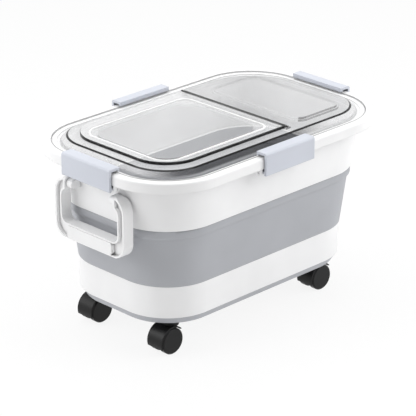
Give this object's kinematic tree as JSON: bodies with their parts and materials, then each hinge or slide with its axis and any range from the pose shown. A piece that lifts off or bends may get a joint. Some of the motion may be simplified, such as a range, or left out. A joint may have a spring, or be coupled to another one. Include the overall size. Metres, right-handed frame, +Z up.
{
  "type": "collapsible rice storage container",
  "caption": "Oblong collapsible kitchen bin with a folding grey band, a clear latched lid with a hinged flap, a swinging end handle and swivel casters.",
  "frame": {"origin": "on the floor, under the middle of the tub", "axes": "+Z up; +X along the length, away from the handle; +Y across the width"},
  "size_m": [0.4464, 0.2884, 0.2695],
  "materials": {
    "white_plastic": "satin moulded polypropylene",
    "white_plate": "satin moulded plastic, bare",
    "grey_band": "matte thermoplastic rubber",
    "base_grey": "satin moulded plastic",
    "latch_grey": "satin moulded plastic",
    "clear_lid": "clear polished plastic",
    "white_seal": "soft silicone",
    "caster_black": "satin black plastic",
    "wheel_black": "black plastic wheel",
    "socket_black": "black plastic sleeve",
    "steel_pin": "plain steel"
  },
  "bodies": {
    "base": {"lower_tub": "white_plastic", "base_tray": "base_grey", "fold_band": "grey_band", "caster_socket_front_left": "socket_black", "caster_socket_front_right": "socket_black", "caster_socket_back_left": "socket_black", "caster_socket_back_right": "socket_black"},
    "upper": {"upper_frame": "white_plastic", "lid_frame": "clear_lid", "lid_seal": "white_seal", "flap_hinge_pins": "steel_pin", "handle_pins": "steel_pin", "latch_pin_front": "steel_pin", "latch_pin_back": "steel_pin", "latch_pin_left": "steel_pin", "latch_pin_right": "steel_pin"},
    "flap": {"flap_panel": "clear_lid", "flap_seal": "white_seal"},
    "carry_handle": {"handle": "white_plastic", "handle_grip_plate": "white_plate"},
    "front_latch": {"latch_front": "latch_grey"},
    "back_latch": {"latch_back": "latch_grey"},
    "left_latch": {"latch_left": "latch_grey"},
    "right_latch": {"latch_right": "latch_grey"},
    "caster_front_left_fork": {"caster_hood_front_left": "caster_black"},
    "caster_front_left_wheels": {"caster_wheels_front_left": "wheel_black", "caster_axle_front_left": "steel_pin"},
    "caster_front_right_fork": {"caster_hood_front_right": "caster_black"},
    "caster_front_right_wheels": {"caster_wheels_front_right": "wheel_black", "caster_axle_front_right": "steel_pin"},
    "caster_back_left_fork": {"caster_hood_back_left": "caster_black"},
    "caster_back_left_wheels": {"caster_wheels_back_left": "wheel_black", "caster_axle_back_left": "steel_pin"},
    "caster_back_right_fork": {"caster_hood_back_right": "caster_black"},
    "caster_back_right_wheels": {"caster_wheels_back_right": "wheel_black", "caster_axle_back_right": "steel_pin"}
  },
  "joints": [
    {"name": "collapse", "type": "slide", "parent": "base", "child": "upper", "axis": [0, 0, 1], "range_m": [-0.118, 0], "deforming": ["fold_band"]},
    {"name": "flap_hinge", "type": "hinge", "parent": "upper", "child": "flap", "pos_m": [0.043, 0, 0.2675], "axis": [0, 1, 0], "range_deg": [0, 110]},
    {"name": "handle_swing", "type": "hinge", "parent": "upper", "child": "carry_handle", "pos_m": [-0.21035, 0, 0.221], "axis": [0, 1, 0], "range_deg": [0, 90]},
    {"name": "front_latch_hinge", "type": "hinge", "parent": "upper", "child": "front_latch", "pos_m": [0, -0.1354, 0.2398], "axis": [1, 0, 0], "range_deg": [0, 105]},
    {"name": "back_latch_hinge", "type": "hinge", "parent": "upper", "child": "back_latch", "pos_m": [0, 0.1354, 0.2398], "axis": [-1, 0, 0], "range_deg": [0, 105]},
    {"name": "left_latch_hinge", "type": "hinge", "parent": "upper", "child": "left_latch", "pos_m": [-0.2144, 0, 0.2398], "axis": [0, -1, 0], "range_deg": [0, 105]},
    {"name": "right_latch_hinge", "type": "hinge", "parent": "upper", "child": "right_latch", "pos_m": [0.2144, 0, 0.2398], "axis": [0, 1, 0], "range_deg": [0, 105]},
    {"name": "caster_front_left_swivel", "type": "hinge", "parent": "base", "child": "caster_front_left_fork", "pos_m": [-0.142, -0.0675, 0.0456], "axis": [0, 0, 1], "continuous": true},
    {"name": "caster_front_left_roll", "type": "hinge", "parent": "caster_front_left_fork", "child": "caster_front_left_wheels", "pos_m": [-0.15, -0.0675, 0.018], "axis": [0, 1, 0], "continuous": true},
    {"name": "caster_front_right_swivel", "type": "hinge", "parent": "base", "child": "caster_front_right_fork", "pos_m": [0.142, -0.0675, 0.0456], "axis": [0, 0, 1], "continuous": true},
    {"name": "caster_front_right_roll", "type": "hinge", "parent": "caster_front_right_fork", "child": "caster_front_right_wheels", "pos_m": [0.134, -0.0675, 0.018], "axis": [0, 1, 0], "continuous": true},
    {"name": "caster_back_left_swivel", "type": "hinge", "parent": "base", "child": "caster_back_left_fork", "pos_m": [-0.142, 0.0675, 0.0456], "axis": [0, 0, 1], "continuous": true},
    {"name": "caster_back_left_roll", "type": "hinge", "parent": "caster_back_left_fork", "child": "caster_back_left_wheels", "pos_m": [-0.15, 0.0675, 0.018], "axis": [0, 1, 0], "continuous": true},
    {"name": "caster_back_right_swivel", "type": "hinge", "parent": "base", "child": "caster_back_right_fork", "pos_m": [0.142, 0.0675, 0.0456], "axis": [0, 0, 1], "continuous": true},
    {"name": "caster_back_right_roll", "type": "hinge", "parent": "caster_back_right_fork", "child": "caster_back_right_wheels", "pos_m": [0.134, 0.0675, 0.018], "axis": [0, 1, 0], "continuous": true}
  ]
}
